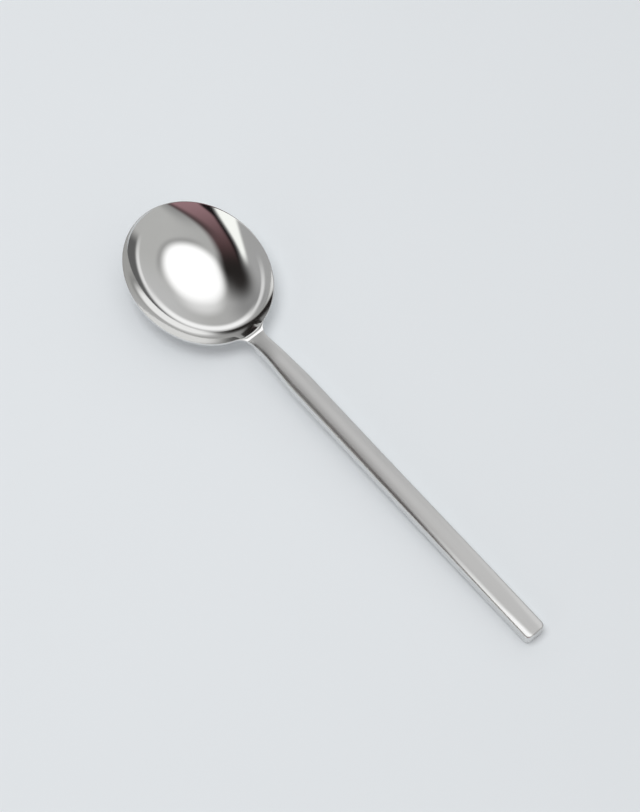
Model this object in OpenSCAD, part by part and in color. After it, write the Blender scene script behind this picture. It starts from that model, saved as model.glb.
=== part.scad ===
// Punch spoon: an oval pressed bowl, butt-welded at the neck to a straight solid bar handle.
// It lies as on a table: +X runs from the bowl to the handle's end, +Z is up, and the origin is on the
// table under the middle of the spoon's length. All sizes are in millimetres.

/* [Overall] */
// Length from the bowl's tip to the end of the handle
total_l = 177.8; // [165:0.1:200]

/* [Bowl] */
// Length of the bowl over its rim, along the handle
bowl_l = 51.1; // [46:0.1:56]
// Width of the bowl over its rim
bowl_w = 43; // [38:0.5:48]
// Depth of the hollow below the rim
bowl_depth = 9; // [8:0.1:10.5]
// Height above the rim of the centre of the ellipsoid that the hollow is cut from
cup_rise = 7; // [5.5:0.1:8.5]
// Wall thickness at the bottom of the bowl
wall = 1.1; // [0.8:0.1:1.5]
// Width of the lip around the hollow
lip_w = 0.4; // [0.35:0.05:0.8]
// Width of the lip's level land at the bowl's tip; beyond it the outer edge leans outwards
lip_land = 0.1; // [0.05:0.05:0.2]
// Height of that leaning outer edge
lip_drop = 1.2; // [0.8:0.1:1.5]
// Angle by which the rim falls towards the handle while the spoon lies on a table
rim_pitch = 6; // [5:0.5:8]

/* [Neck] */
// Width of the neck at its narrowest
neck_w = 5.4; // [4.8:0.1:6.4]
// Thickness of the neck at the weld
neck_t = 3.4; // [2.8:0.1:3.8]
// Radius of the hollow corner between the rim and the neck, seen from above
fillet_r = 4.8; // [4:0.1:6]
// Distance from the rim's end to the seam across the neck
seam_reach = 1.6; // [1.3:0.1:2.2]
// Radius of the ball that runs the hollow out towards the seam
run_r = 5.5; // [5:0.1:6]
// Height of that ball's centre above the rim
run_rise = 3.6; // [3.2:0.1:3.9]
// Width of the level land left between the run-out and the seam
run_land = 0.15; // [0.1:0.05:0.4]
// Width of the weld at the surface
weld_w = 1.2; // [0.8:0.1:1.6]
// Width of the weld at its root, in the middle of the thickness
weld_root = 0.5; // [0.3:0.1:0.7]
// Length beyond the seam over which the neck bends up to the line of the handle
bend_l = 11.5; // [9:0.5:16]

/* [Handle] */
// Width of the handle
handle_w = 7.1; // [6.6:0.1:9]
// Thickness of the handle
handle_t = 4.5; // [4:0.1:5]
// Angle by which the straight handle falls towards its end
handle_fall = 2.4; // [2:0.1:3]
// Distance from the seam to the place where the neck begins to widen
waist_l = 4.5; // [3:0.5:8]
// Distance from the seam to the place where the handle has its full width and thickness
flare_l = 23; // [18:1:40]
// Radius of the crowned top, seen from the end
crown_r = 11; // [7:0.5:20]
// Radius of the shoulders between the crowned top and the sides
shoulder_r = 0.6; // [0.4:0.1:1.2]
// Radius of the edges along the underside
keel_r = 0.6; // [0.3:0.1:1]
// Radius of the end's two corners, seen from above
corner_r = 1.7; // [1:0.1:2.5]
// Radius of the end's upper edge, seen from the side
brow_r = 1.1; // [0.6:0.1:1.5]
// Radius of the end's lower edge, seen from the side
foot_r = 0.5; // [0.3:0.1:0.8]

/* [Hidden] */
$fn = 96;
arc_steps = 8;
curve_steps = 14;
// Longer than any cut or prism has to be
reach = 2 * total_l;
// Height of the weld's groove, drawn well past the neck's surfaces, in half thicknesses of the neck
groove_reach = 8;

// Ellipsoids of the bowl: half axes of the hollow and of the outside, around one centre above the rim
half_l = bowl_l / 2;
half_w = bowl_w / 2;
cup_h = bowl_depth + cup_rise;
shell_h = cup_h + wall;
function share_at(drop, h) = sqrt(1 - pow((cup_rise + drop) / h, 2));
cup_share = share_at(0, cup_h);
shell_share = share_at(lip_drop, shell_h);
cup_axes = [(half_l - lip_w) / cup_share, (half_w - lip_w) / cup_share, cup_h];
shell_axes = [half_l / shell_share, half_w / shell_share, shell_h];
// Share of the rim's half axes by which the outer edge leans in over its height
edge_share = (lip_w - lip_land) / half_l;

// Place of the bowl: its lowest point touches the table, and the foot of its outer edge is the spoon's end
shell_low = norm([shell_axes.x * sin(rim_pitch), shell_axes.z * cos(rim_pitch)]);
rim_z = shell_low - cup_rise * cos(rim_pitch);
rim_a = half_l * cos(rim_pitch);
bowl_x = rim_a + lip_drop * sin(rim_pitch) - total_l / 2;
end_x = total_l / 2;

// Point of the rim plane, as [x, z], at a distance from the bowl's centre towards the handle
function on_rim(d) = [bowl_x + d * cos(rim_pitch), rim_z - d * sin(rim_pitch)];
seam = on_rim(half_l + seam_reach);
stub_from = half_l - neck_t;
run_x = half_l + seam_reach - run_land - sqrt(pow(run_r, 2) - pow(run_rise, 2));
flare_from = seam.x + waist_l;
flare_to = seam.x + flare_l;

// Share of a smooth change from 0 to 1 between two places along the spoon
function ease(x, from, to) = let (t = min(max((x - from) / (to - from), 0), 1)) t * t * (3 - 2 * t);

// Heights of the bar: straight underside and top, with the neck bent down from them to the seam.
// The top comes down in an arch, the underside in a gentle double bend
function under_line(x) = (end_x - foot_r - x) * tan(handle_fall);
function top_line(x) = under_line(x) + handle_t;
seam_dip = top_line(seam.x) - seam.y;
function top_z(x) = top_line(x) - seam_dip * pow(max(1 - (x - seam.x) / bend_l, 0), 2);
function thick(x) = neck_t + (handle_t - neck_t) * ease(x, seam.x, flare_to);
function under_z(x) = top_line(x) - seam_dip * (1 - ease(x, seam.x, seam.x + bend_l)) - thick(x);

// Points of an arc around c; the angle is measured from straight up, clockwise
function arc(c, r, from, to) =
    [for (i = [0:arc_steps]) let (a = from + (to - from) * i / arc_steps) c + r * [sin(a), cos(a)]];

// Circle that rounds the corner between rim and neck, seen from above: it touches both
function rim_normal(u) = let (n = [half_w * cos(u), rim_a * sin(u)]) n / norm(n);
function fillet_gap(u) = half_w * sin(u) + fillet_r * rim_normal(u).y - neck_w / 2 - fillet_r;
function fillet_angle(lo, hi, rounds) =
    let (mid = (lo + hi) / 2)
    rounds == 0 ? mid
        : fillet_gap(mid) < 0 ? fillet_angle(mid, hi, rounds - 1)
        : fillet_angle(lo, mid, rounds - 1);
fillet_u = fillet_angle(0, 60, 30);
touch = [bowl_x + rim_a * cos(fillet_u), half_w * sin(fillet_u)];
fillet_c = touch + fillet_r * rim_normal(fillet_u);
fillet_turn = atan2(rim_normal(fillet_u).x, rim_normal(fillet_u).y);

// Plan of the bar: fillet, narrow waist, smooth flare, and the end's round corners
function flare_y(x) = neck_w / 2 + (handle_w - neck_w) / 2 * ease(x, flare_from, flare_to);
bar_edge = concat(
    [[on_rim(stub_from).x, touch.y]],
    arc(fillet_c, fillet_r, 180 + fillet_turn, 180),
    [for (i = [0:curve_steps]) let (x = flare_from + (flare_to - flare_from) * i / curve_steps)
        [x, flare_y(x)]],
    arc([end_x - corner_r, handle_w / 2 - corner_r], corner_r, 0, 90)
);
bar_plan = concat(bar_edge, [for (i = [len(bar_edge) - 1:-1:0]) [bar_edge[i].x, -bar_edge[i].y]]);

// Side view of the bar from the seam, as [x, z]: up the bend, down the top, round the end, back underneath
brow_x = end_x - brow_r;
bar_side = concat(
    [for (i = [0:curve_steps]) let (x = seam.x + bend_l * i / curve_steps) [x, top_z(x)]],
    arc([brow_x, top_line(brow_x) - brow_r], brow_r, handle_fall, 90),
    arc([end_x - foot_r, foot_r], foot_r, 90, 180 + handle_fall),
    [for (i = [curve_steps:-1:0]) let (x = seam.x + flare_l * i / curve_steps) [x, under_z(x)]]
);

// End views of the handle: crowned top with round shoulders, and flat underside with rounded edges
shoulder_y = handle_w / 2 - shoulder_r;
crown_turn = asin(shoulder_y / (crown_r - shoulder_r));
shoulder_z = (crown_r - shoulder_r) * cos(crown_turn) - crown_r;
crown_view = concat(
    [[-handle_w / 2, -reach]],
    arc([-shoulder_y, shoulder_z], shoulder_r, -90, -crown_turn),
    arc([0, -crown_r], crown_r, -crown_turn, crown_turn),
    arc([shoulder_y, shoulder_z], shoulder_r, crown_turn, 90),
    [[handle_w / 2, -reach]]
);
keel_y = handle_w / 2 - keel_r;
keel_view = concat(
    [[-handle_w / 2, reach]],
    arc([-keel_y, keel_r], keel_r, -90, -180),
    arc([keel_y, keel_r], keel_r, 180, 90),
    [[handle_w / 2, reach]]
);

// Double-V groove of the weld, as [x, z]: it has its full width at the neck's surfaces
weld_x = seam.x + weld_w / 2;
weld_z = seam.y - neck_t / 2;
function groove_flank(side) = [
    for (step = [groove_reach, 0, -groove_reach])
        [weld_x + side * (weld_root + abs(step) * (weld_w - weld_root)) / 2, weld_z + step * neck_t / 2]
];
groove = concat(groove_flank(-1), [for (i = [2:-1:0]) groove_flank(1)[i]]);
function beside_weld(side) = concat(
    groove_flank(side),
    [for (step = [-groove_reach, groove_reach]) [weld_x + side * reach, weld_z + step * neck_t / 2]]
);

// Prism across the spoon from a side view drawn as [x, z]
module across(view) {
    rotate([90, 0, 0]) linear_extrude(2 * bowl_w, center = true) polygon(view);
}

// Prism that starts at a place along the spoon and falls with the handle, from an end view
module along(view, x, z) {
    translate([x, 0, z]) rotate([0, handle_fall, 0]) {
        rotate([90, 0, 90]) linear_extrude(reach) polygon(view);
    }
}

// Prism of the bar's plan, taller than the spoon
module plan_prism() {
    translate([0, 0, -reach / 2]) linear_extrude(reach) polygon(bar_plan);
}

// Places a child that is drawn around the rim's centre, with the rim level
module in_rim() {
    translate([bowl_x, 0, rim_z]) rotate([0, rim_pitch, 0]) children();
}

// Ellipsoid around the bowl's common centre
module ellipsoid(axes) {
    translate([0, 0, cup_rise]) scale(axes) sphere(1);
}

// Cone with the rim's outline at the foot of the outer edge, which narrows upwards
module edge_cone() {
    translate([0, 0, -lip_drop - shell_h]) scale([half_l, half_w, 1]) {
        cylinder(
            h = shell_h + 2 * lip_drop,
            r1 = 1 + edge_share * shell_h / lip_drop,
            r2 = 1 - 2 * edge_share
        );
    }
}

// Stub of the neck on the bowl's side of the weld, round underneath and still uncut on top
module stub() {
    intersection() {
        plan_prism();
        across(beside_weld(-1));
        in_rim() translate([stub_from, 0, 0]) {
            scale([1, touch.y, neck_t]) rotate([0, 90, 0]) cylinder(h = bowl_l, r = 1);
        }
    }
}

// Pressed bowl with its lip and its stub, cut off level at the rim and hollowed
module bowl() {
    color("gainsboro") difference() {
        intersection() {
            union() {
                in_rim() intersection() {
                    ellipsoid(shell_axes);
                    edge_cone();
                }
                stub();
            }
            in_rim() translate([-bowl_l, -bowl_l, -2 * bowl_l]) cube(2 * bowl_l);
        }
        in_rim() ellipsoid(cup_axes);
        in_rim() translate([run_x, 0, run_rise]) sphere(run_r);
    }
}

// Weld between the bowl's stub and the handle, ground flush
module neck_weld() {
    color("darkgray") intersection() {
        plan_prism();
        across(bar_side);
        across(groove);
    }
}

// Solid bar handle with a crowned top and, beyond the flare, a flat underside with rounded edges
module handle() {
    color("silver") intersection() {
        plan_prism();
        across(bar_side);
        across(beside_weld(1));
        along(crown_view, seam.x, top_line(seam.x));
        union() {
            along(keel_view, flare_to - handle_w, under_line(flare_to - handle_w));
            translate([flare_to - bowl_l, -bowl_w / 2, 0]) cube([bowl_l, bowl_w, bowl_l]);
        }
    }
}

bowl();
neck_weld();
handle();
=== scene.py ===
import math

import bmesh
import bpy
import numpy as np
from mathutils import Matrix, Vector


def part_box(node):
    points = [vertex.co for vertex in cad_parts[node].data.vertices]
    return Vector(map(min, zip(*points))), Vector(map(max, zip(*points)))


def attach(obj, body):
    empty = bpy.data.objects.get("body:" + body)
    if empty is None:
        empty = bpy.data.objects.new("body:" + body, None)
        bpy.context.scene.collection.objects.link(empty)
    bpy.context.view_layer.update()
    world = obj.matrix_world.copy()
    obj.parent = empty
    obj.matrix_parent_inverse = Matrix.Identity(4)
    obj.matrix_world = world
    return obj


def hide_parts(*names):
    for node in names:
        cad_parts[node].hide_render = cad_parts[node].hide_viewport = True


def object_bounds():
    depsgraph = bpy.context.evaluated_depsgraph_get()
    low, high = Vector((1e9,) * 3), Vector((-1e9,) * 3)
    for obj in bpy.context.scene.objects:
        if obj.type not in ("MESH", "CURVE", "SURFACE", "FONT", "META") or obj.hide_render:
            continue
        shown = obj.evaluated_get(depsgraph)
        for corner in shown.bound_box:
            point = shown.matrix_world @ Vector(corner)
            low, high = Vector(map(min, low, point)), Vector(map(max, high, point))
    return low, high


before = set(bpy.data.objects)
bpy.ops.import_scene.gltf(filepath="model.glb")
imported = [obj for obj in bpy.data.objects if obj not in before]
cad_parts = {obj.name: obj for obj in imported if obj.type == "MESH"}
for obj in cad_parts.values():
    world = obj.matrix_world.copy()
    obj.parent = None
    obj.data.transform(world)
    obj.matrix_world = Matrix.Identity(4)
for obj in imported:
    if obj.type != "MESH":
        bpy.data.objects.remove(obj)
cad_low, cad_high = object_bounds()

# Driving dimensions in millimetres, the same as those of the solids
MM = 0.001
BOWL_L = 51.1
BOWL_DEPTH = 9.0
CUP_RISE = 7.0
WALL = 1.1
LIP_DROP = 1.2
RIM_PITCH = math.radians(6)
NECK_W = 5.4
NECK_T = 3.4
FILLET_R = 4.8
SEAM_REACH = 1.6
WELD_W = 1.2
BEND_L = 11.5
HANDLE_W = 7.1
HANDLE_T = 4.5
HANDLE_FALL = math.radians(2.4)
WAIST_L = 4.5
FLARE_L = 23.0
KEEL_R = 0.6
CORNER_R = 1.7
FOOT_R = 0.5

# Looks only: steepness of the hollow's walls, and the share of a flatter pan in its section
TIP_STEEP = 0.968
NECK_STEEP = 0.905
SIDE_STEEP = 0.724
WALL_SHARE = 0.49
WALL_POWER = 3.27

# Looks only: the lip's crest and its softness, and the run-out of the hollow to the seam
LIP_W = 0.15
LIP_SOFT = 0.22
LIP_ROUND = 0.12
SEAM_ROUND = 0.02
BEVEL_FADE = math.radians(6)
RUN_WALL = 3.0
RUN_SHARE = 0.65
RUN_SOFT = 0.17
RUN_CORNER = 1.5
TOUCH_BLEND = math.radians(2)

# Looks only: the neck's back, its sides and its edges
BACK_SOFT = 1.2
STUB_FLANK = 8.0
WALL_FADE = 1.0
NECK_EDGE_R = 0.25
NECK_SIDE_SHARE = 0.35

# Looks only: the crown of the handle's top, round at the neck and flat at the end
CROWN_TILT = math.radians(34)
CROWN_POWER = 2.1
CROWN_GROW = 4.0
END_TILT = math.radians(12)
END_POWER = 3.0
END_FLAT_L = 77.0
END_EDGE_R = 0.5
FOOT_BLEND_L = 3 * CORNER_R

# Looks only: where the satin is rubbed smooth and gets a painted sheen, a lighter colour for highlights on
# the shoulders, as shares of the half width
END_WEAR_AND_SHEEN_L = 16.0
WEAR_AND_SHEEN_FROM_TO = (0.45, 0.8)
END_WEAR_AND_SHEEN_FROM_TO = (0.3, 0.65)
FAR_WEAR_AND_SHEEN = 0.3

# Limits of the sums: a small amount, a search's halvings and widest angle, and the neck's sector and fillet
TINY = 1e-6
HALVINGS = 40
TOUCH_LIMIT = math.radians(60)
NECK_SECTOR = 1.0
FILLET_REACH = 0.95

# Spacing of the bowl's rings: rays crowd towards the neck, and rings crowd towards the rim
RAY_CROWDING = 0.75
RING_SPREAD = math.radians(70)
EDGE_STEPS = (0.2, 0.4, 0.6, 0.8, 1)

# Rings of the bowl's side: inset from the rim in millimetres, and degrees around the neck's lower edge
FIRST_INSET = 0.2
FIRST_TURN = 6.5
SIDE_STEPS = ((0.35, 15), (0.55, 27), (0.8, 40), (1.1, 53), (1.5, 66), (2, 78), (2.5, 90))

# Shares of the way to the outline between which the rings lean into the seam's upright plane
SEAM_LEAN_FROM_TO = (0.85, 0.97)

# Spacing of the bar's points: down its walls, around its lower edges, along its underside and at its end
WALL_STEPS = (0.12, 0.3, 0.5, 0.7, 0.88)
KEEL_TURNS = np.radians(np.linspace(0, 90, 6))
FLOOR_STEPS = np.linspace(0.75, 0, 4)
STUB_TURNS = np.radians(np.linspace(FIRST_TURN, 90, 10))
STUB_STEPS = np.linspace(0.8, 0, 5)
END_FINE_L = 2 * CORNER_R

# Counts of the meshes' rings and points
RAYS = 360
HOLLOW_RINGS = 56
RUN_RINGS = 20
LIP_RINGS = 18
BACK_RINGS = 44
TOP_POINTS = 41
NECK_STATIONS = 96
BAR_STATIONS = 44
END_STATIONS = 18
WELD_STATIONS = 8
SHARP_ANGLE = math.radians(38)

# Places worked out from the frame and the driving dimensions
half_l = BOWL_L / 2
bowl_low, bowl_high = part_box("bowl")
half_w = (bowl_high.y - bowl_low.y) / 2 / MM
end_x = cad_high.x / MM
bowl_x = cad_low.x / MM + half_l * math.cos(RIM_PITCH) + LIP_DROP * math.sin(RIM_PITCH)
cup_h = BOWL_DEPTH + CUP_RISE
shell_h = cup_h + WALL


def rim_share(drop, height):
    """Share of an ellipsoid's half width that its section has at a drop below the rim."""
    return math.sqrt(1 - ((CUP_RISE + drop) / height) ** 2)


shell_a = half_l / rim_share(LIP_DROP, shell_h)
shell_b = half_w / rim_share(LIP_DROP, shell_h)
shell_low = math.hypot(shell_a * math.sin(RIM_PITCH), shell_h * math.cos(RIM_PITCH))
rim_z = shell_low - CUP_RISE * math.cos(RIM_PITCH)
seam_u = half_l + SEAM_REACH
seam_x = bowl_x + seam_u * math.cos(RIM_PITCH)
seam_z = rim_z - seam_u * math.sin(RIM_PITCH)
flare_from = seam_x + WAIST_L
flare_to = seam_x + FLARE_L


def ease(x, start, end):
    """Smooth change from 0 to 1 between two places."""
    t = np.clip((x - start) / (end - start), 0, 1)
    return t * t * (3 - 2 * t)


def soft_min(a, b, width):
    """The lower of two heights, blended where they are closer than a width."""
    near = np.maximum(width - np.abs(a - b), 0)
    return np.minimum(a, b) - near**2 / (4 * width)


def rim_touch():
    """Angle on the rim's ellipse where the neck's fillet touches it, and the fillet's centre."""
    low, high = 0.0, TOUCH_LIMIT
    for _ in range(HALVINGS):
        angle = (low + high) / 2
        normal = Vector((half_w * math.cos(angle), half_l * math.sin(angle))).normalized()
        centre = Vector((half_l * math.cos(angle), half_w * math.sin(angle))) + FILLET_R * normal
        if centre.y < NECK_W / 2 + FILLET_R:
            low = angle
        else:
            high = angle
    return angle, centre


touch_angle, fillet_c = rim_touch()
touch_u = half_l * math.cos(touch_angle)
touch_v = half_w * math.sin(touch_angle)
touch_turn = math.atan2(touch_v, touch_u)


def fillet_half(u):
    """Half width of the neck along its fillets, at a distance from the bowl's centre."""
    back = np.clip(fillet_c.x - u, 0, FILLET_REACH * FILLET_R)
    return fillet_c.y - np.sqrt(FILLET_R**2 - back**2)


def rim_ellipse(theta, inset):
    """Distance from the bowl's centre, by direction, to an ellipse inside the rim."""
    return 1 / np.sqrt((np.cos(theta) / (half_l - inset)) ** 2 + (np.sin(theta) / (half_w - inset)) ** 2)


def outline(theta, inset, corner):
    """Distance from the bowl's centre, by direction, to a line inside the rim, the fillet and the seam."""
    c, s = np.cos(theta), np.abs(np.sin(theta))
    rim = rim_ellipse(theta, inset)
    towards = c * fillet_c.x + s * fillet_c.y
    spare = towards**2 - fillet_c.length_squared + (FILLET_R + inset) ** 2
    fillet = np.where(spare > 0, towards - np.sqrt(np.maximum(spare, 0)), BOWL_L)
    turn = np.abs(np.arctan2(np.sin(theta), c))
    seam = (seam_u - inset) / np.where(turn < NECK_SECTOR, c, 1)
    neck = soft_min(fillet, seam, corner)
    return rim + (neck - rim) * ease(turn, touch_turn, touch_turn - TOUCH_BLEND)


seam_half = float(fillet_half(seam_u))
seam_turn = math.atan2(seam_half, seam_u)


def hollow_z(u, v):
    """Height of the hollow: its walls are steeper at the tip and at the neck than at the sides."""
    along, across = (u / (half_l - LIP_W)) ** 2, (v / (half_w - LIP_W)) ** 2
    end = np.where(u < 0, TIP_STEEP, NECK_STEEP)
    steep = SIDE_STEEP + (end - SIDE_STEEP) * along / np.maximum(along + across, TINY)
    rim = np.sqrt(1 - steep**2)
    domed = (np.sqrt(np.maximum(1 - steep**2 * (along + across), 0)) - rim) / (1 - rim)
    pan = 1 - (along + across) ** (WALL_POWER / 2)
    return -BOWL_DEPTH * (domed + (pan - domed) * WALL_SHARE)


def back_z(u, v):
    """Height of the underside: the shell, blended into the round back of the neck."""
    shell = CUP_RISE - shell_h * np.sqrt(np.maximum(1 - (u / shell_a) ** 2 - (v / shell_b) ** 2, 0))
    beside = np.maximum(np.abs(v) - touch_v, 0)
    stub = -NECK_T * np.sqrt(np.maximum(1 - (v / touch_v) ** 2, 0)) + STUB_FLANK * beside
    soft = BACK_SOFT * ease(u, half_l / 2, half_l) + TINY
    return np.where(u > 0, soft_min(shell, stub, soft), shell)


def make_mesh(name, points, faces):
    """Mesh object from points in millimetres, with its faces turned outwards and shaded smooth."""
    mesh = bpy.data.meshes.new(name)
    mesh.from_pydata((points * MM).tolist(), [], faces)
    work = bmesh.new()
    work.from_mesh(mesh)
    bmesh.ops.recalc_face_normals(work, faces=work.faces)
    work.to_mesh(mesh)
    work.free()
    mesh.shade_smooth()
    mesh.set_sharp_from_angle(angle=SHARP_ANGLE)
    piece = bpy.data.objects.new(name, mesh)
    bpy.context.collection.objects.link(piece)
    return piece


def dress(piece, node, material):
    """Gives a piece its material and sets it in the place of a solid."""
    piece.data.materials.append(material)
    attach(piece, "root")
    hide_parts(node)


def ring_faces(rings, count):
    """Quads between closed rings of points."""
    return [
        (r * count + i, r * count + (i + 1) % count, (r + 1) * count + (i + 1) % count, (r + 1) * count + i)
        for r in range(rings - 1)
        for i in range(count)
    ]


def ray_directions():
    """Directions of the bowl's rays, with one through each end of the seam."""
    turn = np.arange(RAYS) / RAYS * 2 * math.pi
    theta = turn - RAY_CROWDING * np.sin(turn)
    theta = np.where(theta > math.pi, theta - 2 * math.pi, theta)
    for corner in (seam_turn, -seam_turn):
        theta[np.argmin(np.abs(theta - corner))] = corner
    return theta


def from_rim(local):
    """Points in the frame from points along, across and above the rim's plane."""
    u, v, w = local.T
    x = bowl_x + u * math.cos(RIM_PITCH) + w * math.sin(RIM_PITCH)
    z = rim_z - u * math.sin(RIM_PITCH) + w * math.cos(RIM_PITCH)
    return np.stack([x, v, z], 1)


def ring_share(i, count):
    """Share of the way from the bowl's centre to its rim for one of a count of rings."""
    return math.sin(RING_SPREAD * i / count) / math.sin(RING_SPREAD)


def bowl_mesh():
    """The bowl as rings around its centre: hollow, lip, outer edge, and back."""
    theta = ray_directions()
    c, s = np.cos(theta), np.sin(theta)
    away = np.abs(theta)
    at_seam = away < seam_turn + TINY
    rimmed = ease(away, touch_turn, touch_turn + BEVEL_FADE)
    out_r = outline(theta, 0, TINY)
    lip_r = outline(theta, LIP_W, RUN_CORNER)
    cup_r = rim_ellipse(theta, LIP_W)
    run = np.maximum(lip_r - cup_r, 0)
    run_to = cup_r - RUN_WALL
    soft = LIP_SOFT + RUN_SOFT * run
    drop = LIP_DROP * rimmed
    rings = []

    def ring(u, v, height):
        lean = np.where(at_seam, ease(np.hypot(u, v) / out_r, *SEAM_LEAN_FROM_TO), 0)
        rings.append(np.stack([u - lean * height * math.tan(RIM_PITCH), v, height], 1))

    def top_z(radius):
        part = np.clip((radius - run_to) / (lip_r - run_to), 0, 1)
        inner = radius - RUN_SHARE * run * part**2
        return soft_min(hollow_z(inner * c, inner * s), 0, soft)

    def top_ring(radius):
        ring(radius * c, radius * s, top_z(radius))

    # The top: rings out to the run-out's start, along the run-out, and over the lip
    edge = out_r - np.where(at_seam, SEAM_ROUND, LIP_ROUND)
    inner_lip = lip_r - 2 * soft
    for i in range(1, HOLLOW_RINGS + 1):
        top_ring(run_to * ring_share(i, HOLLOW_RINGS))
    for i in range(1, RUN_RINGS + 1):
        top_ring(run_to + (inner_lip - run_to) * i / RUN_RINGS)
    for i in range(1, LIP_RINGS + 1):
        top_ring(inner_lip + (edge - inner_lip) * i / LIP_RINGS)

    # The outer side: thin along the rim, an upright wall with a round lower edge along the neck
    out_u, out_v = out_r * c, out_r * s
    wall_h = -back_z(out_u, out_v)
    walled = ease(wall_h, LIP_DROP, LIP_DROP + WALL_FADE)
    corner_h = -float(back_z(np.array(seam_u), np.array(seam_half)))
    side_r = NECK_SIDE_SHARE * np.where(at_seam, corner_h, wall_h)
    in_u = np.where(at_seam, 0, (out_u - fillet_c.x) / FILLET_R)
    beside = np.abs(out_v)
    in_v = np.where(at_seam, -beside / seam_half, (beside - fillet_c.y) / FILLET_R) * np.sign(s)

    def side(inset, degrees):
        angle = math.radians(degrees)
        tuck = walled * side_r * (1 - math.cos(angle))
        u = out_u - (1 - walled) * inset * c + tuck * in_u
        v = out_v - (1 - walled) * inset * s + tuck * in_v
        return u, v, back_z(u, v) * (1 - walled + walled * math.sin(angle))

    # A curve rolls from the lip's crest over the outline to the first ring of the side
    first_u, first_v, first_z = side(FIRST_INSET, FIRST_TURN)
    edge_z = top_z(edge)
    for t in EDGE_STEPS:
        a, b, d = (1 - t) ** 2, 2 * t * (1 - t), t**2
        ring(
            a * edge * c + b * out_u + d * first_u,
            a * edge * s + b * out_v + d * first_v,
            a * edge_z - b * drop + d * first_z,
        )
    for inset, degrees in SIDE_STEPS:
        last_u, last_v, z = side(inset, degrees)
        ring(last_u, last_v, z)
    for i in range(BACK_RINGS - 1, 0, -1):
        u, v = last_u * ring_share(i, BACK_RINGS), last_v * ring_share(i, BACK_RINGS)
        ring(u, v, back_z(u, v))

    # The middles of the hollow and of the back close the rings
    middles = np.array([[0, 0, -BOWL_DEPTH], [0, 0, -BOWL_DEPTH - WALL]])
    points = from_rim(np.concatenate(rings + [middles]))
    count = len(rings)
    faces = ring_faces(count, RAYS)
    last = (count - 1) * RAYS
    for i in range(RAYS):
        after = (i + 1) % RAYS
        faces.append((count * RAYS, i, after))
        faces.append((count * RAYS + 1, last + i, last + after))
    return make_mesh("polished_bowl", points, faces)


def under_line(x):
    """Height of the handle's straight underside."""
    return (end_x - FOOT_R - x) * math.tan(HANDLE_FALL)


seam_dip = under_line(seam_x) + HANDLE_T - seam_z


def bar_top(x):
    """Height of the bar's top along its middle: a straight line, arched down to the seam."""
    return under_line(x) + HANDLE_T - seam_dip * max(1 - (x - seam_x) / BEND_L, 0) ** 2


def bar_under(x):
    """Height of the bar's underside: a straight line, bent gently down to the seam."""
    thick = NECK_T + (HANDLE_T - NECK_T) * float(ease(x, seam_x, flare_to))
    bent = seam_dip * (1 - float(ease(x, seam_x, seam_x + BEND_L)))
    return under_line(x) + HANDLE_T - bent - thick


def bar_half(x):
    """Half width of the bar, without the end's round corners."""
    u = (x - bowl_x) / math.cos(RIM_PITCH)
    neck = float(fillet_half(u))
    return neck + (HANDLE_W - NECK_W) / 2 * float(ease(x, flare_from, flare_to))


def edge_drop(inside, radius):
    """Drop of a rounded edge at a distance inside it."""
    out = np.clip(radius - inside, 0, radius)
    return radius - np.sqrt(np.maximum(radius**2 - out**2, 0))


def inside_end(x, y):
    """Distance inside the bar's outline seen from above, with the end's round corners."""
    qx = x - (end_x - CORNER_R)
    qy = np.abs(y) - (bar_half(x) - CORNER_R)
    over = np.hypot(np.maximum(qx, 0), np.maximum(qy, 0))
    return np.maximum(CORNER_R - over - np.minimum(np.maximum(qx, qy), 0), 0)


def bar_section(x):
    """Closed outline of the bar at a place along it, as points across and up."""
    corner = max(x - (end_x - CORNER_R), 0)
    half = bar_half(x) - CORNER_R + math.sqrt(max(CORNER_R**2 - corner**2, 0))
    flat = float(ease(x, end_x - END_FLAT_L, end_x))
    shoulder = NECK_EDGE_R + (END_EDGE_R - NECK_EDGE_R) * flat
    top_y = half * np.sin(np.linspace(-math.pi / 2, math.pi / 2, TOP_POINTS))
    tilt = CROWN_TILT + (END_TILT - CROWN_TILT) * flat
    slope = math.tan(tilt) * float(ease(x, seam_x, seam_x + CROWN_GROW))
    power = CROWN_POWER + (END_POWER - CROWN_POWER) * flat
    crown = slope * HANDLE_W / 2 / power * (np.abs(top_y) / (HANDLE_W / 2)) ** power
    top_z = bar_top(x) - crown - edge_drop(inside_end(x, top_y), shoulder)
    edge_z = top_z[-1]
    floor_z = bar_under(x)

    # Lower half of the bar: upright walls, rounded edges and a flat underside
    keel = KEEL_R + (FOOT_R - KEEL_R) * float(ease(x, end_x - FOOT_BLEND_L, end_x))
    foot_z = floor_z + keel
    wall = [(half, edge_z + (foot_z - edge_z) * t) for t in WALL_STEPS]
    low_y = np.concatenate([half - keel * (1 - np.cos(KEEL_TURNS)), (half - keel) * FLOOR_STEPS])
    low_z = floor_z + edge_drop(inside_end(x, low_y), keel)
    bar = np.concatenate([np.array(wall), np.stack([low_y, low_z], 1)])

    # Lower half of the neck: the round back of the bowl's stub, which changes into the bar's
    thick = bar_top(x) - floor_z
    side_r = NECK_SIDE_SHARE * thick * math.sqrt(max(1 - (min(half, touch_v) / touch_v) ** 2, 0))
    stub_y = np.concatenate([half - side_r * (1 - np.cos(STUB_TURNS)), (half - side_r) * STUB_STEPS])
    share = np.concatenate([np.sin(STUB_TURNS), np.ones(len(STUB_STEPS))])
    stub_z = bar_top(x) - share * thick * np.sqrt(np.maximum(1 - (stub_y / touch_v) ** 2, 0))
    blend = float(ease(x, seam_x, flare_from))
    low = (1 - blend) * np.stack([stub_y, stub_z], 1) + blend * bar
    left = low[-2::-1] * (-1, 1)
    return np.concatenate([np.stack([top_y, top_z], 1), low, left])


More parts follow.
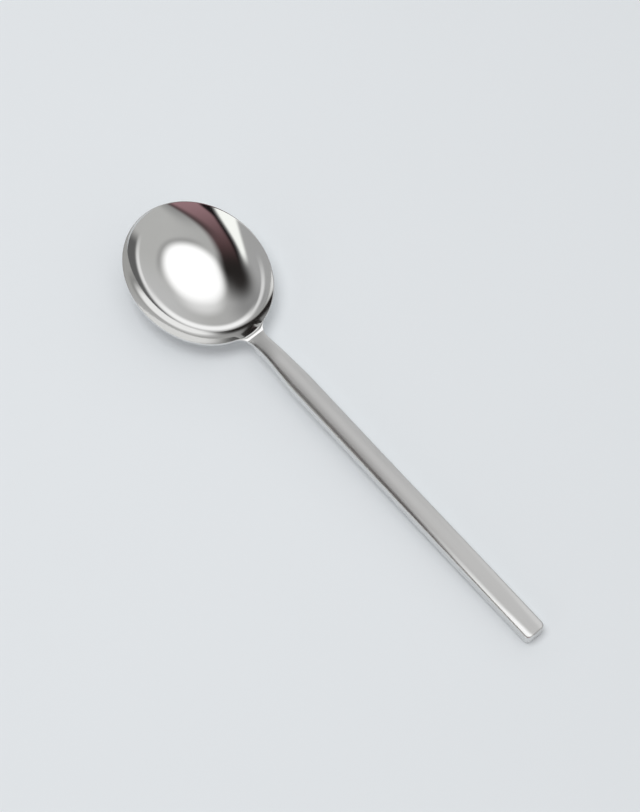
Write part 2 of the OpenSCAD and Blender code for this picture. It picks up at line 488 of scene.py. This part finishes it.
def wear_and_sheen_share(x, y):
    """Share by which the satin is rubbed smooth and painted lighter as a highlight: at the shoulders, more at
    the end, less on the far side.
    """
    near_end = float(ease(x, end_x - END_WEAR_AND_SHEEN_L, end_x))
    start, full = (a + (b - a) * near_end for a, b in zip(WEAR_AND_SHEEN_FROM_TO, END_WEAR_AND_SHEEN_FROM_TO))
    return ease(np.abs(y) / np.abs(y).max(), start, full) * np.where(y > 0, FAR_WEAR_AND_SHEEN, 1)


def map_grain(piece, count, stations):
    """Lays a map on the bar, across and along it, that gives its brushed grain a direction."""
    mesh = piece.data
    grain = mesh.uv_layers.new(name="grain")
    for polygon in mesh.polygons:
        closing = max(v % count for v in polygon.vertices) == count - 1
        for loop in polygon.loop_indices:
            index = mesh.loops[loop].vertex_index
            across = (index % count) / count
            if across == 0 and closing:
                across = 1
            grain.data[loop].uv = (across, index // count / stations)


def bar_mesh(name, stations):
    """Length of the bar between two stations, closed at both ends, with its rubbed places and their painted
    sheen, and its grain.
    """
    sections = [bar_section(x) for x in stations]
    count = len(sections[0])
    points = np.concatenate(
        [np.column_stack([np.full(count, x), section]) for x, section in zip(stations, sections)]
    )
    faces = ring_faces(len(stations), count)
    faces.append(tuple(range(count)))
    faces.append(tuple(range(len(points) - count, len(points))))
    piece = make_mesh(name, points, faces)
    # Shares of the rubbed places, which also get a painted sheen
    wear_and_sheen = piece.data.attributes.new("wear_and_sheen", "FLOAT", "POINT")
    shares = [wear_and_sheen_share(x, section[:, 0]) for x, section in zip(stations, sections)]
    wear_and_sheen.data.foreach_set("value", np.concatenate(shares))
    map_grain(piece, count, len(stations))
    return piece


def handle_stations():
    """Places along the handle, close together at the neck and at the end."""
    start = seam_x + WELD_W
    last = end_x - END_FINE_L
    neck = np.linspace(start, flare_to, NECK_STATIONS, endpoint=False)
    bar = np.linspace(flare_to, last, BAR_STATIONS, endpoint=False)
    end = last + (end_x - last) * np.sin(np.linspace(0, math.pi / 2, END_STATIONS))
    return np.concatenate([neck, bar, end])


# Nodes of the materials and of the studio
class Graph:
    """A node tree with short calls for the nodes that it needs."""

    def __init__(self, tree):
        self.tree = tree
        tree.nodes.clear()

    def add(self, kind, **values):
        node = self.tree.nodes.new(kind)
        for key, value in values.items():
            setattr(node, key, value)
        return node

    def put(self, socket, value):
        if isinstance(value, bpy.types.NodeSocket):
            self.tree.links.new(value, socket)
        else:
            socket.default_value = value

    def math(self, operation, a, b=0.0, c=0.0):
        node = self.add("ShaderNodeMath", operation=operation)
        for socket, value in zip(node.inputs, (a, b, c)):
            self.put(socket, value)
        return node.outputs[0]

    def step(self, value, start, end):
        """Smooth change from 0 to 1 as the value goes from start to end."""
        node = self.add("ShaderNodeMapRange", interpolation_type="SMOOTHSTEP")
        self.put(node.inputs["Value"], value)
        self.put(node.inputs["From Min"], start)
        self.put(node.inputs["From Max"], end)
        return node.outputs["Result"]

    def scale_to(self, value, low, high):
        """A value from 0 to 1 spread between low and high."""
        node = self.add("ShaderNodeMapRange")
        self.put(node.inputs["Value"], value)
        self.put(node.inputs["To Min"], low)
        self.put(node.inputs["To Max"], high)
        return node.outputs["Result"]

    def mix(self, share, a, b):
        node = self.add("ShaderNodeMix", data_type="RGBA")
        self.put(node.inputs["Factor"], share)
        self.put(node.inputs["A"], a)
        self.put(node.inputs["B"], b)
        return node.outputs["Result"]

    def noise(self, vector, scale, detail=2.0, roughness=0.5):
        node = self.add("ShaderNodeTexNoise")
        self.put(node.inputs["Vector"], vector)
        node.inputs["Scale"].default_value = scale
        node.inputs["Detail"].default_value = detail
        node.inputs["Roughness"].default_value = roughness
        return node.outputs["Fac"]

    def stretched(self, vector, scale):
        node = self.add("ShaderNodeMapping")
        self.put(node.inputs["Vector"], vector)
        node.inputs["Scale"].default_value = scale
        return node.outputs["Vector"]


def grey(value):
    """A neutral colour."""
    return (value, value, value, 1)


def new_material(name):
    """An empty material, its graph, its shader and the object's own coordinates."""
    material = bpy.data.materials.new(name)
    material.use_nodes = True
    graph = Graph(material.node_tree)
    shader = graph.add("ShaderNodeBsdfPrincipled")
    output = graph.add("ShaderNodeOutputMaterial")
    graph.put(output.inputs["Surface"], shader.outputs["BSDF"])
    place = graph.add("ShaderNodeTexCoord").outputs["Object"]
    return material, graph, shader, place


def relief(graph, shader, height, strength, distance):
    """Gives a shader the fine relief of a texture, with its depth in metres."""
    bump = graph.add("ShaderNodeBump")
    bump.inputs["Strength"].default_value = strength
    bump.inputs["Distance"].default_value = distance
    graph.put(bump.inputs["Height"], height)
    graph.put(shader.inputs["Normal"], bump.outputs["Normal"])


# Mirror polish: colours, roughness, marks for each metre, and relief as a strength and a depth in metres
POLISH_DARK = (0.74, 0.74, 0.735, 1)
POLISH_LIGHT = (0.79, 0.79, 0.785, 1)
POLISH_ROUGHNESS = (0.02, 0.07)
SMUDGE_SCALE = 90
WIPE_SCALE = (300, 1800, 1800)
WIPE_SHARE = 0.4
POLISH_RELIEF = (0.02, 0.00002)


def polished_steel():
    """Mirror polish with faint wipe marks and a little unevenness."""
    material, graph, shader, place = new_material("polished_steel")
    smudge = graph.noise(place, SMUDGE_SCALE, detail=4, roughness=0.55)
    wipes = graph.noise(graph.stretched(place, WIPE_SCALE), 1, detail=3, roughness=0.6)
    shader.inputs["Metallic"].default_value = 1
    graph.put(shader.inputs["Base Color"], graph.mix(smudge, POLISH_DARK, POLISH_LIGHT))
    marks = graph.math("MULTIPLY_ADD", wipes, WIPE_SHARE, smudge)
    graph.put(shader.inputs["Roughness"], graph.scale_to(marks, *POLISH_ROUGHNESS))
    relief(graph, shader, wipes, *POLISH_RELIEF)
    return material


# Brushed steel: colours, with a lighter colour that paints a sheen where it is rubbed, roughness where it is
# fresh and where it is rubbed, grain for each metre, and relief
SATIN_LIGHT = (0.7, 0.7, 0.695, 1)
SATIN_DARK = (0.61, 0.61, 0.605, 1)
GROUND_DARK = (0.62, 0.62, 0.615, 1)
# Lighter colour of the rubbed places: a painted sheen on top of the real wear
RUBBED_SHEEN_COLOUR = (0.78, 0.78, 0.775, 1)
SATIN_ROUGHNESS = (0.46, 0.6)
RUBBED_ROUGHNESS = (0.22, 0.32)
SATIN_GRAIN = (40, 5000, 5000)
GROUND_GRAIN = (900, 900, 900)
COARSE_GRAIN = 0.22
COARSE_SHARE = 0.5
GRAIN_STRETCH = 0.4
SATIN_RELIEF = (0.12, 0.00003)


def satin_steel(name, light, dark, grain_scale):
    """Brushed steel: fine streaks along the grain in colour, roughness and relief, smoother and painted
    lighter as a sheen where rubbed.
    """
    material, graph, shader, place = new_material(name)
    fine = graph.noise(graph.stretched(place, grain_scale), 1, detail=3, roughness=0.65)
    coarse_scale = [s * COARSE_GRAIN for s in grain_scale]
    coarse = graph.noise(graph.stretched(place, coarse_scale), 1, detail=2, roughness=0.5)
    fine_part = graph.math("MULTIPLY", fine, 1 - COARSE_SHARE)
    streaks = graph.math("MULTIPLY_ADD", coarse, COARSE_SHARE, fine_part)
    shader.inputs["Metallic"].default_value = 1
    shader.inputs["Anisotropic"].default_value = GRAIN_STRETCH
    # Mask of the rubbed places: real wear in the roughness, and a painted sheen in the lighter colour
    wear_and_sheen = graph.add("ShaderNodeAttribute", attribute_name="wear_and_sheen").outputs["Fac"]
    graph.put(shader.inputs["Base Color"], graph.mix(wear_and_sheen, graph.mix(streaks, dark, light), RUBBED_SHEEN_COLOUR))
    roughness = graph.add("ShaderNodeMix", data_type="FLOAT")
    graph.put(roughness.inputs["Factor"], wear_and_sheen)
    graph.put(roughness.inputs["A"], graph.scale_to(streaks, *SATIN_ROUGHNESS))
    graph.put(roughness.inputs["B"], graph.scale_to(streaks, *RUBBED_ROUGHNESS))
    graph.put(shader.inputs["Roughness"], roughness.outputs["Result"])
    tangent = graph.add("ShaderNodeTangent", direction_type="UV_MAP", uv_map="grain")
    graph.put(shader.inputs["Tangent"], tangent.outputs["Tangent"])
    relief(graph, shader, fine, *SATIN_RELIEF)
    return material


# The spoon
bowl = bowl_mesh()
dress(bowl, "bowl", polished_steel())
satin = satin_steel("satin_steel", SATIN_LIGHT, SATIN_DARK, SATIN_GRAIN)
handle = bar_mesh("satin_handle", handle_stations())
dress(handle, "handle", satin)
ground = satin_steel("ground_weld", SATIN_LIGHT, GROUND_DARK, GROUND_GRAIN)
weld = bar_mesh("ground_neck_weld", np.linspace(seam_x, seam_x + WELD_W, WELD_STATIONS))
dress(weld, "neck_weld", ground)

# Camera, in millimetres: it looks at a point of the table under the handle, at the photograph's angle
AZIMUTH = math.radians(49.15)
ELEVATION = math.radians(63.95)
CAMERA_FAR = 800.0
LENS = 117.62
SENSOR_W = 36
AIM = Vector((-8.5, 1.66, 0))
back = Vector((
    math.sin(AZIMUTH) * math.cos(ELEVATION),
    -math.cos(AZIMUTH) * math.cos(ELEVATION),
    math.sin(ELEVATION),
))
camera = bpy.data.objects.new("camera", bpy.data.cameras.new("camera"))
bpy.context.collection.objects.link(camera)
camera.data.lens = LENS
camera.data.sensor_width = SENSOR_W
camera.location = AIM * MM + back * CAMERA_FAR * MM
camera.rotation_mode = "QUATERNION"
camera.rotation_quaternion = (-back).to_track_quat("-Z", "Y")
bpy.context.scene.camera = camera

# Floor: its half size in metres, its colours and its finish
FLOOR_HALF = 3.0
FLOOR_COLOUR = (0.778, 0.812, 0.84, 1)
FLOOR_PALER = 1.02
FLOOR_ROUGHNESS = 0.9
FLOOR_SHINE = 0.1
MOTTLE_SCALE = 9
GLOW_SHARE = 0.15


def seen(graph):
    """1 for rays of the camera and for those that metal or glass send on, else 0."""
    path = graph.add("ShaderNodeLightPath")
    rays = graph.math("MAXIMUM", path.outputs["Is Camera Ray"], path.outputs["Is Glossy Ray"])
    return graph.math("MAXIMUM", rays, path.outputs["Is Transmission Ray"])


def floor_paper():
    """Matt paper with a very slight mottle, and a little glow of its own where it is seen."""
    material, graph, shader, place = new_material("floor_paper")
    mottle = graph.noise(place, MOTTLE_SCALE, detail=3, roughness=0.5)
    paler = [min(c * FLOOR_PALER, 1) for c in FLOOR_COLOUR[:3]] + [1]
    colour = graph.mix(mottle, FLOOR_COLOUR, paler)
    graph.put(shader.inputs["Base Color"], colour)
    shader.inputs["Roughness"].default_value = FLOOR_ROUGHNESS
    shader.inputs["Specular IOR Level"].default_value = FLOOR_SHINE
    glow = graph.add("ShaderNodeEmission")
    graph.put(glow.inputs["Color"], colour)
    both = graph.add("ShaderNodeMixShader")
    graph.put(both.inputs[0], graph.math("MULTIPLY", seen(graph), GLOW_SHARE))
    graph.put(both.inputs[1], shader.outputs["BSDF"])
    graph.put(both.inputs[2], glow.outputs["Emission"])
    output = graph.tree.nodes["Material Output"]
    graph.put(output.inputs["Surface"], both.outputs["Shader"])
    return material


corners = np.array([[-1, -1, 0], [1, -1, 0], [1, 1, 0], [-1, 1, 0]]) * FLOOR_HALF / MM
floor = make_mesh("floor", corners, [(0, 1, 2, 3)])
floor.data.materials.append(floor_paper())

# Light overhead: its distance in metres, its half angle, its share of the light, and its lean to the left
TOP_LIGHT_FAR = 1.0
TOP_LIGHT_SPREAD = math.radians(16)
TOP_LIGHT_SHARE = 0.4
TOP_LIGHT_LEAN = 0.27


def top_light():
    """Soft disc overhead that lights the floor and gives the spoon its shadow."""
    lamp = bpy.data.lights.new("top_light", "AREA")
    lamp.shape = "DISK"
    lamp.size = 2 * TOP_LIGHT_FAR * math.tan(TOP_LIGHT_SPREAD)
    lamp.energy = TOP_LIGHT_SHARE * math.pi * math.pi * TOP_LIGHT_FAR**2
    piece = bpy.data.objects.new("top_light", lamp)
    bpy.context.collection.objects.link(piece)
    left = Vector((-math.cos(AZIMUTH), -math.sin(AZIMUTH), 0))
    piece.location = TOP_LIGHT_FAR * (Vector((0, 0, 1)) + TOP_LIGHT_LEAN * left)
    piece.rotation_euler = piece.location.to_track_quat("Z", "Y").to_euler()
    piece.visible_camera = False
    piece.visible_glossy = False


# Studio: places are degrees from the point overhead, x to the photograph's right and y away from the camera
LEVEL_MIN = 0.0001
BACKDROP = (0.72, 0.75, 0.775, 1)


class StudioMap(Graph):
    """The studio's nodes, with the map that its parts are laid out on."""

    def __init__(self, tree):
        super().__init__(tree)
        turn = self.add("ShaderNodeVectorRotate", rotation_type="Z_AXIS")
        self.put(turn.inputs["Vector"], self.add("ShaderNodeTexCoord").outputs["Generated"])
        turn.inputs["Angle"].default_value = -AZIMUTH
        split = self.add("ShaderNodeSeparateXYZ")
        self.put(split.inputs["Vector"], turn.outputs["Vector"])
        self.right, self.away, up = split.outputs
        self.zenith = self.math("DEGREES", self.math("ARCCOSINE", up))
        level = self.length(self.right, self.away)
        spread = self.math("DIVIDE", self.zenith, self.math("MAXIMUM", level, LEVEL_MIN))
        self.x = self.math("MULTIPLY", self.right, spread)
        self.y = self.math("MULTIPLY", self.away, spread)

    def length(self, a, b):
        squares = self.math("ADD", self.math("MULTIPLY", a, a), self.math("MULTIPLY", b, b))
        return self.math("SQRT", squares)

    def blob(self, centre, inner, outer):
        """1 inside a soft disc, falling to 0 between its inner and its outer radius."""
        x, y = centre
        far = self.length(self.math("SUBTRACT", self.x, x), self.math("SUBTRACT", self.y, y))
        return self.step(far, outer, inner)

    def every(self, first, *others):
        """Product of shares: where all of them are."""
        for other in others:
            first = self.math("MULTIPLY", first, other)
        return first

    def between(self, value, rise, fall):
        """1 between a rise and a fall, each given as a start and an end."""
        return self.every(self.step(value, *rise), self.step(value, *fall))


# Tent: grey cloth, lighter to the right and away, darker in a part on the left and a low strip on the right
TENT_X = (-75, 30)
TENT_LEFT = grey(0.44)
TENT_RIGHT = (0.55, 0.55, 0.54, 1)
LIGHTER_X = (-5, 30)
LIGHTER_Y = (5, 50)
LIGHTER = grey(0.62)
DARK_PART = ((-44, 36), 6, 34)
DARK_PART_SHARE = 0.75
DARK_PART_COLOUR = grey(0.26)
STRIP_ZENITH = (71, 78)
STRIP_RIGHT = (0.2, 0.6)
STRIP_AWAY = (-0.2, 0.1)
STRIP_COLOUR = grey(0.14)


def tent(sky):
    """Colour of the tent around the spoon."""
    colour = sky.mix(sky.step(sky.x, *TENT_X), TENT_LEFT, TENT_RIGHT)
    lighter = sky.every(sky.step(sky.x, *LIGHTER_X), sky.step(sky.y, *LIGHTER_Y))
    colour = sky.mix(lighter, colour, LIGHTER)
    colour = sky.mix(sky.every(sky.blob(*DARK_PART), DARK_PART_SHARE), colour, DARK_PART_COLOUR)
    strip = sky.every(
        sky.step(sky.zenith, *STRIP_ZENITH),
        sky.step(sky.right, *STRIP_RIGHT),
        sky.step(sky.away, *STRIP_AWAY),
    )
    return sky.mix(strip, colour, STRIP_COLOUR)


# Horizon: a bright arc low behind the spoon, and a finer line that reaches around to its sides
ARC_RISE = (62, 69)
ARC_FALL = (78, 72)
ARC_AWAY = (0.5, 0.9)
LINE_RISE = (67, 70)
LINE_FALL = (76, 72)
LINE_AWAY = (-0.2, 0.4)
LINE_SHARE = 0.6
HORIZON_COLOUR = grey(1.15)


def horizon(sky, colour):
    """Adds the bright horizon."""
    arc = sky.every(sky.between(sky.zenith, ARC_RISE, ARC_FALL), sky.step(sky.away, *ARC_AWAY))
    line = sky.every(sky.between(sky.zenith, LINE_RISE, LINE_FALL), sky.step(sky.away, *LINE_AWAY))
    return sky.mix(sky.math("MAXIMUM", arc, sky.every(line, LINE_SHARE)), colour, HORIZON_COLOUR)


# Lamp: a soft disc overhead with a grey ring on its right, and a dimmer patch beyond it
RING = ((7, 9.5), 29, 36)
RING_SHARE = 0.45
RING_BESIDE = (0, 28)
RING_COLOUR = grey(0.26)
PATCH = ((4, 30), 6, 22)
PATCH_SHARE = 0.6
PATCH_COLOUR = grey(1.1)
LAMP = ((7.5, 8.5), 17.5, 29)
LAMP_COLOUR = grey(1.35)


def lamp_ring(sky, colour):
    """Adds the grey ring beside the lamp."""
    beside = sky.step(sky.math("SUBTRACT", sky.x, sky.y), *RING_BESIDE)
    return sky.mix(sky.every(sky.blob(*RING), RING_SHARE, beside), colour, RING_COLOUR)


def lamp_disc(sky, colour):
    """Adds the lamp and the dimmer patch beyond it."""
    colour = sky.mix(sky.every(sky.blob(*PATCH), PATCH_SHARE), colour, PATCH_COLOUR)
    return sky.mix(sky.blob(*LAMP), colour, LAMP_COLOUR)


# Flag: its left edge leans, and its right edge curves outwards towards the camera
FLAG_LEFT_Y = (-100, -14)
FLAG_LEFT_X = (-28, -46.5)
FLAG_RIGHT_Y = (-14, 4)
FLAG_RIGHT_X = (-19.5, -17)
CURVE_START = 0.75
CURVE_UNIT = 20
CURVE_POWER = 2.3
CURVE_REACH = 4.2


def past_flag_edges(sky):
    """Distances to the right of the flag's left edge and of its right edge."""
    left = sky.scale_to(sky.step(sky.y, *FLAG_LEFT_Y), *FLAG_LEFT_X)
    straight = sky.scale_to(sky.step(sky.y, *FLAG_RIGHT_Y), *FLAG_RIGHT_X)
    nearer = sky.math("MAXIMUM", sky.math("MULTIPLY_ADD", sky.y, -1 / CURVE_UNIT, -CURVE_START), 0)
    right = sky.math("MULTIPLY_ADD", sky.math("POWER", nearer, CURVE_POWER), CURVE_REACH, straight)
    return sky.math("SUBTRACT", sky.x, left), sky.math("SUBTRACT", sky.x, right)


# Panel: a white board on the flag's left
PANEL_X = -53
PANEL_LEAN = 0.12
PANEL_EDGE = (-3, 3)
PANEL_TO_FLAG = (2, -3)
PANEL_Y = (2, -18)
PANEL_COLOUR = (1.2, 1.22, 1.18, 1)


def panel(sky, colour, past_left):
    """Adds the white panel, up to the flag's left edge."""
    past_edge = sky.math("SUBTRACT", sky.x, sky.math("MULTIPLY_ADD", sky.y, PANEL_LEAN, PANEL_X))
    share = sky.every(
        sky.step(past_edge, *PANEL_EDGE),
        sky.step(past_left, *PANEL_TO_FLAG),
        sky.step(sky.y, *PANEL_Y),
    )
    return sky.mix(share, colour, PANEL_COLOUR)


# Shade: a darker part of the tent on the flag's right, low towards the camera
SHADE_RISE = (-8, -2)
SHADE_FALL = (34, 2)
SHADE_Y = (-30, -65)
SHADE_SHARE = 0.6
SHADE_COLOUR = grey(0.2)


def shade(sky, colour, past_right):
    """Adds the shade beside the flag."""
    share = sky.every(sky.between(past_right, SHADE_RISE, SHADE_FALL), sky.step(sky.y, *SHADE_Y))
    return sky.mix(sky.every(share, SHADE_SHARE), colour, SHADE_COLOUR)


# Flag's softness, and its colours: paler towards the camera, darker at its edges, far end and core
FLAG_SOFT_Y = (-25, 12)
FLAG_SOFT = (4, 9)
FLAG_RIGHT_SOFT = (5, -5)
FLAG_FAR_Y = (34, 4)
FLAG_Y = (-85, -14)
FLAG_NEAR_COLOUR = (0.37, 0.22, 0.24, 1)
FLAG_COLOUR = (0.1, 0.058, 0.06, 1)
BORDER_Y = (-55, -82)
BORDER_SHIFT = -12.5
BORDER_X = (9, 3)
BORDER_COLOUR = (0.015, 0.012, 0.013, 1)
VERGE_X = (-16, -3)
VERGE_Y = (-20, -45)
VERGE_SHARE = 0.8
VERGE_COLOUR = (0.06, 0.045, 0.045, 1)
FAR_END_Y = (-30, 4)
FAR_END_SHARE = 0.95
FAR_END_COLOUR = (0.02, 0.018, 0.017, 1)
CORE = ((-35, 10), 3, 29)
CORE_SHARE = 0.92
CORE_COLOUR = (0.025, 0.022, 0.021, 1)


def flag_colour(sky, past_left, past_right):
    """Colour of the plain dark flag."""
    colour = sky.mix(sky.step(sky.y, *FLAG_Y), FLAG_NEAR_COLOUR, FLAG_COLOUR)
    border = sky.math("MULTIPLY_ADD", sky.step(sky.y, *BORDER_Y), BORDER_SHIFT, past_left)
    colour = sky.mix(sky.step(border, *BORDER_X), colour, BORDER_COLOUR)
    verge = sky.every(sky.step(past_right, *VERGE_X), sky.step(sky.y, *VERGE_Y))
    colour = sky.mix(sky.every(verge, VERGE_SHARE), colour, VERGE_COLOUR)
    far_end = sky.every(sky.step(sky.y, *FAR_END_Y), FAR_END_SHARE)
    return sky.mix(far_end, colour, FAR_END_COLOUR)


def flag(sky, colour, past_left, past_right):
    """Adds the flag and its dark core."""
    soft = sky.scale_to(sky.step(sky.y, *FLAG_SOFT_Y), *FLAG_SOFT)
    share = sky.every(
        sky.step(past_left, sky.math("MULTIPLY", soft, -1), soft),
        sky.step(past_right, *FLAG_RIGHT_SOFT),
        sky.step(sky.y, *FLAG_FAR_Y),
    )
    colour = sky.mix(share, colour, flag_colour(sky, past_left, past_right))
    return sky.mix(sky.every(sky.blob(*CORE), CORE_SHARE), colour, CORE_COLOUR)


def studio():
    """Soft grey studio around the spoon, with a plain backdrop where the camera sees past the floor."""
    world = bpy.data.worlds.new("studio")
    bpy.context.scene.world = world
    world.use_nodes = True
    sky = StudioMap(world.node_tree)
    past_left, past_right = past_flag_edges(sky)
    colour = horizon(sky, tent(sky))
    colour = lamp_ring(sky, colour)
    colour = panel(sky, colour, past_left)
    colour = lamp_disc(sky, colour)
    colour = shade(sky, colour, past_right)
    colour = flag(sky, colour, past_left, past_right)
    light = sky.add("ShaderNodeBackground")
    sky.put(light.inputs["Color"], colour)
    plain = sky.add("ShaderNodeBackground")
    plain.inputs["Color"].default_value = BACKDROP
    choice = sky.add("ShaderNodeMixShader")
    sky.put(choice.inputs[0], sky.add("ShaderNodeLightPath").outputs["Is Camera Ray"])
    sky.put(choice.inputs[1], light.outputs["Background"])
    sky.put(choice.inputs[2], plain.outputs["Background"])
    output = sky.add("ShaderNodeOutputWorld")
    sky.put(output.inputs["Surface"], choice.outputs["Shader"])


studio()
top_light()
bpy.context.scene.view_settings.view_transform = "Standard"
